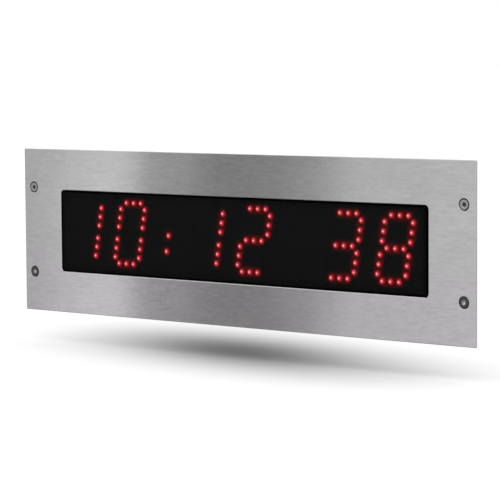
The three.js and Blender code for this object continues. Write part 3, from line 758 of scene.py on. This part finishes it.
SEGMENTS = {  # centre x, centre z in half digits, and whether the segment runs across
    "a": (0, 1, True), "b": (1, 0.5, False), "c": (1, -0.5, False), "d": (0, -1, True),
    "e": (-1, -0.5, False), "f": (-1, 0.5, False), "g": (0, 0, True),
}
NUMERALS = {"0": "abcdef", "1": "bc", "2": "abged", "3": "abgcd", "8": "abcdefg"}
SHOWN = {"hours_tens": "1", "hours_units": "0", "minutes_tens": "1", "minutes_units": "2",
         "seconds_tens": "3", "seconds_units": "8"}
GROUPS = (*SHOWN, "colon")


def strokes(name):
    """For each segment of a digit, or dot of the colon: its diodes, its two ends, and whether it is lit."""
    cx, cz = middle(f"{name}_diodes")
    if name == "colon":
        for dz in (COLON_DROP / 2, -COLON_DROP / 2):
            x, z = cx + SLANT * dz, cz + dz
            yield [(x, z)], (x - 0.05, z), (x + 0.05, z), True
        return
    for key, (column, row, across) in SEGMENTS.items():
        diodes = []
        for step in (-1, 0, 1):
            x = column * DIGIT_WIDTH / 2 + (step * STEP_ACROSS if across else 0)
            z = row * DIGIT_HEIGHT / 2 + (0 if across else step * STEP_UP)
            diodes.append((cx + x + SLANT * z, cz + z))
        yield diodes, diodes[0], diodes[2], key in NUMERALS[SHOWN[name]]


def slot_rays(a, b, turn=10, straight=1):
    """Places on the line from a to b, each with the direction in which the slot around it lies."""
    (ax, az), (bx, bz) = a, b
    along = atan2(bz - az, bx - ax)
    rays = []
    for (x0, z0), (x1, z1), start in ((b, a, along - pi / 2), (a, b, along + pi / 2)):
        for i in range(turn + 1):
            angle = start + pi * i / turn
            rays.append((x0, z0, cos(angle), sin(angle)))
        for i in range(1, straight):
            share = i / straight
            rays.append((x0 + (x1 - x0) * share, z0 + (z1 - z0) * share, *rays[-1][2:]))
    return rays


def slot_outline(a, b, radius, straight=1):
    """A slot with round ends around the line from a to b."""
    return [(x + radius * dx, z + radius * dz) for x, z, dx, dz in slot_rays(a, b, straight=straight)]


def distance_to_line(x, z, a, b):
    """How far a point lies from the line between two points."""
    (ax, az), (bx, bz) = a, b
    length = hypot(bx - ax, bz - az)
    share = min(max(((x - ax) * (bx - ax) + (z - az) * (bz - az)) / length ** 2, 0), 1)
    return hypot(x - ax - share * (bx - ax), z - az - share * (bz - az))


def add_glowing(bm, rings, material, uv_at):
    """A loft with UVs: a diode's axis lies at (0.5, 0.5) and its glow reaches 0.5 from there."""
    before = len(bm.faces)
    add_loft(bm, rings, material)
    bm.faces.ensure_lookup_table()
    set_uvs(bm, bm.faces[before:], uv_at)


def add_diode(bm, x, z, material):
    """A 5 mm diode, domed at the tip, standing in its spacer bar."""
    tip, shoulder, sunk = 2.35, 3.45, 0.4
    dome = [(LED_RADIUS * sin(a), shoulder - (shoulder - tip) * cos(a))
            for a in (0.12, 0.4, 0.7, 1.0, 1.3, pi / 2)]
    add_glowing(bm, turned((x, z), dome + [(LED_RADIUS, BAR_FRONT + sunk)], 24), material,
                lambda at_x, at_z: [0.5 + off / GLOW_RADIUS / 2 for off in (at_x - x, at_z - z)])


def add_spacer_bar(bm, a, b, material):
    """The bar that holds a segment's diodes off the board; lit ones give it a faint painted glow of their
    light.
    """
    back, radius, ease, glow_at = 8.8, 3.1, 0.1, 0.85
    profile = ((radius - ease, BAR_FRONT), (radius, BAR_FRONT + ease), (radius, back))
    # For lit diodes the bar takes the lens's glow at one radius: a faint painted red glow.
    add_glowing(bm, [(slot_outline(a, b, r), depth) for r, depth in profile], material,
                lambda at_x, at_z: (0.5 + glow_at / 2, 0.5))


def add_spacer(bm, x, z, material):
    """The slanted figure of eight under a digit's diodes."""
    reach = LED_RADIUS + 0.45
    half_w, half_h = DIGIT_WIDTH / 2, DIGIT_HEIGHT / 2
    outside = (half_w + reach, -half_h - reach, half_h + reach)
    upper_hole = (half_w - reach, reach, half_h - reach)
    lower_hole = (half_w - reach, reach - half_h, -reach)
    walls = []
    for half, low, high in (outside, upper_hole, lower_hole):
        corners = ((-half, low), (half, low), (half, high), (-half, high))
        outline = [(x + dx + SLANT * dz, z + dz) for dx, dz in corners]
        walls.append([(outline, SPACER_FRONT), (outline, BOARD_FACE)])
    add_plate(bm, walls, material=material)


def make_digits():
    """The six digits, each on its spacer, and the colon's two dots on a small base."""
    for name in GROUPS:
        at = middle(f"{name}_diodes")
        bm = bmesh.new()
        for diodes, a, b, lit in strokes(name):
            material = 0 if lit else 1
            add_spacer_bar(bm, a, b, material)
            for x, z in diodes:
                add_diode(bm, x, z, material)
        if name == "colon":
            base = rounded_rect(7, COLON_DROP + 6, 0.6, *at)
            add_loft(bm, [(base, SPACER_FRONT), (base, BOARD_FACE)], 1)
            finish("colon_dots", bm, "lit package", "colon_diodes")
        else:
            add_spacer(bm, *at, 2)
            finish(f"{name}_digit", bm, "lit unlit package", f"{name}_diodes")


def make_mask():
    """The black plate in front of the board: a countersunk slot for each segment, and its posts."""
    front, back, mouth, reach = 2.9, 4.1, 3.15, 1.6
    profile = ((mouth, front), (3.0, front + 0.15), (2.95, back))
    walls = [edge_rings(rect_shape(354.4, 60.4, 0.5), front, back, 0.1)]
    slots = [(a, b, lit) for name in GROUPS for _, a, b, lit in strokes(name)]
    bright = []
    for a, b, lit in slots:
        straight = 8 if dist(a, b) > 1 else 1
        rings = [(slot_outline(a, b, radius, straight), depth) for radius, depth in profile]
        if lit:
            # The light that falls on the plate around a slot, painted as a red glow, up to half way to the
            # next slot.
            edge = []
            for x, z, dx, dz in slot_rays(a, b, straight=straight):
                lip = (x + mouth * dx, z + mouth * dz)
                nearest = min(distance_to_line(*lip, c, d) for c, d, _ in slots if (c, d) != (a, b))
                spread = min(reach, (nearest - mouth) / 2 - 0.02)
                edge.append((x + (mouth + spread) * dx, z + (mouth + spread) * dz))
            rings.insert(0, (edge, front))
            bright.append(len(walls))
        walls.append(rings)

    def spill_uv(x, z):
        away = min(distance_to_line(x, z, a, b) for a, b, lit in slots if lit) - mouth
        return min(max(away / reach, 0), 1), 0

    bm = bmesh.new()
    add_plate(bm, walls, lit=bright)
    set_uvs(bm, [face for face in bm.faces if face.material_index == 1], spill_uv)
    for x in (-128, -64.7, -2.6, 62, 128):
        for z in (-27.3, 27.3):
            add_disc(bm, (x - 2.5, z), [(1.5, back - 0.2), (1.5, BOARD_FACE)], steps=24)
    finish("display_mask_plate", bm, "mask well", "display_mask")


# ---- seals and fasteners

def make_seals():
    """The foam seal that meets the wall and the thin gasket under the window's flange."""
    for name, node, width, lip, radius in (("foam_wall_seal", "wall_seal", 2.5, 0.5, 2),
                                           ("window_flange_gasket", "window_gasket", 3.7, 0.12, 4)):
        x, (front, back), z = extent(node)
        shape = box_shape(x, z, radius, 8)
        ease = [(lip, 0), (0.15 * lip, 0.3 * lip), (0, lip)]
        half = two_ended(front, ease, back, ease[::-1])
        rings = half + [(width - inset, depth) for inset, depth in half[::-1]]
        bm = bmesh.new()
        add_wall(bm, shaped(shape, rings), closed=True)
        finish(name, bm, "rubber", node)


def nut_rings(at, across, sides, bore, front, back):
    """A chamfered nut around a bore, as a closed loop of rings."""
    chamfer, ease = 0.12 * (back - front), 0.3
    hole = [(bore, ease), (bore + ease, 0), (0.475 * across, 0)]
    rings = turned(at, two_ended(front, hole, back, hole[::-1]))
    rings[3:3] = [(polygon(across, sides, *at), depth) for depth in (front + chamfer, back - chamfer)]
    return rings


def make_studs_and_nuts():
    """The panel's weld studs with their hexagon nuts, and the square nuts pressed into the wall frame."""
    for corner in CORNERS:
        at, front, back = spine(f"{corner}_weld_stud")
        bm = bmesh.new()
        foot = ((2.15, 0), (2.2, 0.1), (2.2, 0.5), (1.6, 0.8), (1.25, 0.9))
        add_disc(bm, at, [(radius, front + rise) for radius, rise in foot])
        add_loft(bm, thread_rings(at, 1.5, 0.5, front + 0.8, back - 0.3) + turned(at, [(1.05, back)], 24))
        finish(f"{corner}_threaded_stud", bm, "zinc", f"{corner}_weld_stud", smooth=50)
        nuts = (("hex_nut", "stud_nut", 5.5, 6, 1.62), ("square_nut", "frame_nut", 7, 4, 2.1))
        for name, node, *sizes in nuts:
            at, *ends = spine(f"{corner}_{node}")
            bm = bmesh.new()
            add_wall(bm, nut_rings(at, *sizes, *ends), closed=True)
            finish(f"{corner}_{name}", bm, "zinc", f"{corner}_{node}")


def add_slotted_head(bm, at, radius, seat, top):
    """A pan head with a driver slot: a disc up to the slot's floor and a rounded half on each side of it."""
    slot_half, slot_depth = 0.42, 0.72
    floor = top - slot_depth
    add_disc(bm, at, [(radius - 0.15, seat), (radius, seat + 0.15), (radius, floor)])

    def half_disc(r, side):
        start = asin(slot_half / r)
        angles = [start + (pi - 2 * start) * i / 20 for i in range(21)]
        return [(at[0] + r * cos(a), at[1] + side * r * sin(a)) for a in angles]

    for side in (-1, 1):
        add_loft(bm, [(half_disc(radius - inset, side), floor + share * slot_depth)
                      for inset, share in ((0, 0), (0.05, 0.45), (0.2, 0.75), (0.5, 0.93), (0.9, 1))])


def make_case_screws():
    """The four screws of the rear cover and the larger one of the cable clamp."""
    head = 1.8
    screws = [(f"{corner}_cover_screw", f"{corner}_case_screw", 2.5, 1.2) for corner in CORNERS]
    for node, name, radius, core in screws + [("clamp_screw", "clamp_pan_screw", 3.0, 1.5)]:
        at, front, back = spine(node)
        bm = bmesh.new()
        add_slotted_head(bm, at, radius, back - head, back)
        threads = thread_rings(at, core, 0.8, front + 0.3, back - head + 0.2)
        add_loft(bm, turned(at, [(core / 2, front)], 24) + threads)
        finish(name, bm, "solder", node)


# ---- case, wall frame and connectors

def make_case():
    rounded_copy("case_shell", "case_body", "case", 0.45)
    rounded_copy("cable_saddle", "cable_clamp", "case", 0.3)
    rounded_copy("galvanised_wall_frame", "wall_frame", "zinc", 0.25)


def make_rear_cover():
    """The cover with its two fields of vents, button holes, screw holes and the posts that hold the board."""
    x, (front, back), z = extent("rear_cover")
    face = back - COVER_THICKNESS
    walls = [edge_rings(box_shape(x, z, 1.5), face, back, 0.35)]
    vent = two_ended(face, [(1.1, 0)], back, ((1.1, 0.25), (1.18, 0.08), (1.35, 0)))
    for count, start in ((9, -72), (5, 36)):
        for i in range(count):
            low, high = ((start + 5.5 * i, end) for end in (-15.9, 15.9))
            walls.append([(slot_outline(low, high, radius), depth) for radius, depth in vent])
    holes = [("mode_button", 3.3, 0.4), ("adjust_button", 3.3, 0.4)]
    holes += [(f"{corner}_cover_screw", 1.8, 0.1) for corner in CORNERS]
    for node, radius, ease in holes:
        rim = ((radius, ease), (radius + 0.3 * ease, 0.3 * ease), (radius + ease, 0))
        walls.append(turned(middle(node), two_ended(face, [(radius, 0)], back, rim), 40))
    bm = bmesh.new()
    add_plate(bm, walls)
    for x in (-60, 60, 150):
        for z in (-32.3, 32.3):
            add_block(bm, about(x, 1.5), (front, face + 0.5), about(z, 1.5), 0.2)
    finish("vented_rear_cover", bm, "case", "rear_cover")


def add_side_block(bm, node, radius, pockets):
    """A connector's body in (depth, z); its open face, where the pockets start, is at its lowest x."""
    (x0, x1), depths, z = extent(node)
    add_plate(bm, [edge_rings(box_shape(depths, z, radius, 3), x0, x1, 0.3)[::-1]], pockets)


def make_terminal(kind, poles):
    """A spring terminal block: a wire hole and a channel for the release lever at each pole."""
    clearance, wire_at = 0.3, 4.6
    (x0, _), (front, _), _ = extent(f"{kind}_terminal")
    pockets = []
    for pole in poles:
        (_, inner), (near, far), (low, high) = extent(f"{pole}_release")
        channel = box_shape((near - clearance, far + clearance), (low - clearance, high + clearance), 0.25, 3)
        pockets.append([(channel(-0.25), x0), (channel(0), x0 + 0.25), (channel(0), inner + 1.5)])
        wire = [(2.05, x0), (1.85, x0 + 0.3), (1.6, x0 + 0.9), (1.6, x0 + 9)]
        pockets.append(turned((front + wire_at, (low + high) / 2), wire, 32))
    bm = bmesh.new()
    add_side_block(bm, f"{kind}_terminal", 0.4, pockets)
    turn_to_side(bm)
    finish(f"{kind}_spring_terminal", bm, "green", f"{kind}_terminal")


def make_release(pole):
    """A lever with a step across its face for the screwdriver's tip."""
    (face, inner), (front, back), z = extent(f"{pole}_release")
    low, high = about((front + back) / 2, 0.5)
    bm = bmesh.new()
    for depths, start in (((front, low), face), ((low, high), face + 0.6), ((high, back), face)):
        add_loft(bm, edge_rings(box_shape(depths, z, 0.25, 3), start, inner, 0.15))
    turn_to_side(bm)
    finish(f"{pole}_release_lever", bm, "orange", f"{pole}_release")


def make_network_socket():
    """A shielded socket: a stepped mouth for the plug and its latch, and eight sprung contacts."""
    (x0, _), (front, _), z = extent("network_socket")
    centre, shield = sum(z) / 2, x0 + 0.9

    def mouth(grow):
        low, step, top = front + 2 - grow, front + 9.6 + grow, front + 11.4 + grow
        half, latch = 5.9 + grow, 2 + grow
        upper = [(top, latch), (step, latch), (step, half), (low, half)]
        lower = [(depth, -up) for depth, up in upper[::-1]]
        return [(depth, centre + up) for depth, up in lower + upper]

    bm = bmesh.new()
    add_side_block(bm, "network_socket", 0.5, [[(mouth(0.2), x0), (mouth(0), x0 + 0.2), (mouth(0), shield),
                                                (mouth(-0.05), shield), (mouth(-0.05), x0 + 13)]])
    for face in bm.faces:
        depth, across, up = face.calc_center_median() / MM
        behind_shield = across - FACE_Y > shield and len(face.verts) != 3
        if behind_shield and front + 1.5 < depth < front + 12 and abs(up - centre) < 6:
            face.material_index = 2
    turn_to_side(bm)
    for i in range(8):
        z = centre + (i - 3.5) * 1.02
        add_bar(bm, (x0 + 12.9, front + 3.1, z), (x0 + 9, front + 2.9, z), 0.35, 0.3, 1)
        add_bar(bm, (x0 + 9.1, front + 2.8, z), (x0 + 3.2, front + 4.6, z), 0.35, 0.3, 1)
    finish("shielded_network_socket", bm, "zinc gold package", "network_socket")


def make_connectors():
    for kind, poles in TERMINALS.items():
        make_terminal(kind, poles)
        for pole in poles:
            make_release(pole)
    make_network_socket()


# ---- circuit boards and their parts

def add_joint(bm, x, z, face, away, radius=0.8):
    """A solder fillet on a board's face; away is the direction it rises in."""
    fillet = ((1, 0), (0.72, 0.22), (0.42, 0.55), (0.3, 0.9))
    add_disc(bm, (x, z), [(radius * share, face + away * rise) for share, rise in fillet], 1, 12)


def add_chip_part(bm, x, z, face, body):
    """A small surface-mounted part, 2 mm long, lying along Z on a board's rear face, with soldered ends."""
    add_block(bm, about(x, 0.6), (face, face + 0.55), about(z, 0.65), 0.06, body)
    for ends in ((z - 1, z - 0.6), (z + 0.6, z + 1)):
        add_block(bm, about(x, 0.63), (face, face + 0.58), ends, 0.06, 1)


def make_display_board():
    """The long board: two solder joints behind every diode and a row of small resistors below each digit."""
    x, (front, back), z = extent("display_board")
    plug_x = extent("display_ribbon")[0][0] + PLUG_LENGTH / 2
    plug_z = middle("display_ribbon")[1]
    bm = bmesh.new()
    add_loft(bm, edge_rings(box_shape(x, z, 2), front, back, 0.08))
    for name in SHOWN:
        for diodes, *_ in strokes(name):
            for x, z in diodes:
                for lead in (x - 1.27, x + 1.27):
                    if abs(lead - plug_x) > 4.2 or abs(z - plug_z) > 14.2:
                        add_joint(bm, lead, z, back, 1, 0.7)
        cx, cz = middle(f"{name}_diodes")
        for i in range(7):
            add_chip_part(bm, cx - 10 + 3.4 * i, cz - 28.2, back, 2)
    finish("display_circuit_board", bm, "board solder package", "display_board")


def make_control_board():
    """The board in the case: three rows of small parts behind, solder joints of the larger parts in front."""
    x, (front, back), z = extent("control_board")
    bm = bmesh.new()
    add_loft(bm, edge_rings(box_shape(x, z, 1), front, back, 0.08))
    for row, count, start in ((-24.5, 8, -22), (4.5, 6, 3), (24.5, 7, 14)):
        for i in range(count):
            add_chip_part(bm, start + 3.8 * i, row, back, 2 if i % 2 else 3)
    for kind, poles in TERMINALS.items():
        x, z = middle(f"{kind}_terminal")
        for i in range(len(poles)):
            for lead in (x - 4, x + 4):
                add_joint(bm, lead, z + (i - (len(poles) - 1) / 2) * 7.5, front, -1)
    leads = {"mode_switch": (3.25, 3.25), "adjust_switch": (3.25, 3.25), "power_module": (22, 10),
             "fuse_holder": (8, 2.2), "smoothing_capacitor": (2.5, 0), "clock_crystal": (2.45, 0),
             "battery_holder": (10.5, 0)}
    for node, (across, up) in leads.items():
        x, z = middle(node)
        for lead in about(x, across):
            for row in sorted({z - up, z + up}):
                add_joint(bm, lead, row, front, -1)
    finish("control_circuit_board", bm, "board solder package ceramic", "control_board")


def make_power_parts():
    """The potted supply, the capacitor in its sleeve and the fuse holder."""
    x, (front, back), z = extent("power_module")
    shape = box_shape(x, z, 1.2)
    bm = bmesh.new()
    foot, top = ((0.4, 0), (0, 0.4)), ((0, 0.5), (0.15, 0.15), (0.5, 0), (1.6, 0), (1.8, 0.25))
    add_loft(bm, shaped(shape, two_ended(front, foot, back, top)))
    finish("potted_power_module", bm, "package", "power_module")
    at, front, back = spine("smoothing_capacitor")
    bm = bmesh.new()
    base = ((5.9, 0), (6.3, 0.4), (6.3, 1.7), (6.0, 2.3), (6.3, 2.9))
    add_disc(bm, at, two_ended(front, base, back, ((6.3, 0.5), (6.1, 0.1), (5.6, 0))))
    add_disc(bm, at, [(5.4, back - 0.3), (5.4, back - 0.05), (5.2, back + 0.02)], 1)
    finish("electrolytic_capacitor", bm, "sleeve solder", "smoothing_capacitor")
    rounded_copy("fuse_clip_holder", "fuse_holder", "package", 0.2)


def make_fuse():
    """A glass tube with its wire and two caps, drawn along the depth and turned to lie along X."""
    (x0, x1), depths, z = extent("fuse")
    at, centre, half = (sum(depths) / 2, sum(z) / 2), (x0 + x1) / 2, (x1 - x0) / 2
    bm = bmesh.new()
    add_disc(bm, at, [(2.25, end) for end in about(centre, half - 1)], 0, 32)
    add_disc(bm, at, [(0.12, end) for end in about(centre, half - 4.9)], 1, 10)
    for side in (-1, 1):
        add_disc(bm, at, [(radius, centre + side * (half - inset)) for radius, inset in
                          ((2.3, 5.4), (2.5, 5.2), (2.5, 0.3), (2.2, 0))], 1, 32)
    turn_to_side(bm)
    finish("glass_cartridge_fuse", bm, "glass solder", "fuse")


def make_processor():
    """A flat package with twelve gull-wing leads on each side."""
    x, (face, back), _ = extent("processor")
    (cx, cz), half, half_lead = middle("processor"), (x[1] - x[0]) / 2, 0.16
    bm = bmesh.new()
    add_block(bm, about(cx, half - 1), (face + 0.1, back), about(cz, half - 1), 0.2)
    # The three parts of a lead: how far their ends lie from its tip, then their heights off the board.
    parts = ((1.05, 0.45, 0.75, 0.92), (0.6, 0.42, 0.02, 0.9), (0.6, 0, 0, 0.16))
    for i in range(12):
        off = (i - 5.5) * 0.9
        for side in (-1, 1):
            for near, far, low, high in parts:
                a, b = sorted((side * (half - near), side * (half - far)))
                depths = (face + low, face + high)
                add_block(bm, (cx + a, cx + b), depths, about(cz + off, half_lead), 0.03, 1)
                add_block(bm, about(cx + off, half_lead), depths, (cz + a, cz + b), 0.03, 1)
    finish("quad_flat_processor", bm, "package solder", "processor")


def make_crystal():
    """A drawn can on a flanged base."""
    x, (front, back), z = extent("clock_crystal")
    shape = box_shape(x, z, 2.39, 12)
    bm = bmesh.new()
    flange = ((0.1, 0), (0, 0.1), (0, 0.4), (0.15, 0.5), (0.4, 0.5))
    top = ((0.4, 0.5), (0.55, 0.15), (0.95, 0))
    add_loft(bm, shaped(shape, two_ended(front, flange, back, top)))
    finish("crystal_can", bm, "solder", "clock_crystal")


def make_coin_cell():
    """The round holder with its two sprung contacts, and the cell in it."""
    at, front, back = spine("battery_holder")
    x, z = at
    bm = bmesh.new()
    well = turned(at, [(10.7, back), (10.4, back - 0.3), (10.4, front + 1.1)], 64)
    add_plate(bm, [edge_rings(lambda inset: circle(12.4 - inset, *at, 64), front, back, 0.25)], [well])
    for side in (-1, 1):
        add_bar(bm, (x + side * 11.4, back - 0.05, z), (x + side * 8.6, back + 0.35, z), 4, 0.3, 1)
    finish("coin_cell_holder", bm, "package gold", "battery_holder")
    at, front, back = spine("backup_cell")
    bm = bmesh.new()
    lid = ((8.5, 0), (8.8, 0.15), (8.8, 0.6), (9.7, 0.6), (10, 0.9))
    can = ((10, 0.35), (9.8, 0.08), (9.4, 0), (8.9, 0), (8.8, 0.06))
    add_disc(bm, at, two_ended(front, lid, back, can), steps=64)
    finish("lithium_coin_cell", bm, "turned", "backup_cell")


def make_switch(key):
    """A push switch with a round well for its cap and a rivet in each corner."""
    x, (front, back), z = extent(f"{key}_switch")
    cx, cz = middle(f"{key}_switch")
    bm = bmesh.new()
    well = turned((cx, cz), [(2.1, back), (2.1, front + 0.6)], 32)
    add_plate(bm, [edge_rings(box_shape(x, z, 0.8), front, back, 0.3)], [well])
    rivet = [(0.6, back - 0.05), (0.6, back + 0.05), (0.35, back + 0.14)]
    for x in about(cx, 3.8):
        for z in about(cz, 3.8):
            add_disc(bm, (x, z), rivet, 1, 16)
    finish(f"{key}_push_switch", bm, "package solder", f"{key}_switch")


def make_button(key):
    """A long cap with a collar that stops against the inside of the rear cover and a dished tip."""
    at, start, tip = spine(f"{key}_button")
    collar = extent("rear_cover")[1][1] - COVER_THICKNESS - 0.1
    stem = [(1.5, 0), (1.7, 0.2), (1.7, 4.1), (2.2, 4.4)]
    flange = [(2.2, 1.3), (4.2, 1.3), (4.4, 1.1), (4.4, 0.2), (4.2, 0), (3, 0)]
    dish = [(3, 0.7), (2.9, 0.35), (2.65, 0.1), (2.2, 0), (1.9, 0.03), (0.9, 0.25), (0.2, 0.3)]
    bm = bmesh.new()
    add_disc(bm, at, two_ended(start, stem, collar, flange) + two_ended(start, (), tip, dish))
    finish(f"{key}_push_cap", bm, "grey", f"{key}_button")


def make_buttons():
    for key in ("mode", "adjust"):
        make_switch(key)
        make_button(key)


def make_ribbon():
    """Two plug bodies and the flat cable between the boards."""
    (x0, x1), (front, back), _ = extent("display_ribbon")
    height = 3.3

    def in_plug(place):
        depth = place.y - FACE_Y
        in_first = place.x < x0 + PLUG_LENGTH and depth < front + height
        in_second = place.x > x1 - PLUG_LENGTH and depth > back - height
        return int(in_first or in_second)

    rounded_copy("board_ribbon_cable", "display_ribbon", "ribbon package", 0.15, in_plug)


make_reflector(make_camera())
for make in (make_world, make_floor, make_lights, make_panel, make_panel_screws, make_window, make_digits,
             make_mask, make_seals, make_studs_and_nuts, make_case_screws, make_case, make_rear_cover,
             make_connectors, make_display_board, make_control_board, make_power_parts, make_fuse,
             make_processor, make_crystal, make_coin_cell, make_buttons, make_ribbon):
    make()

bpy.context.scene.view_settings.view_transform = "Standard"
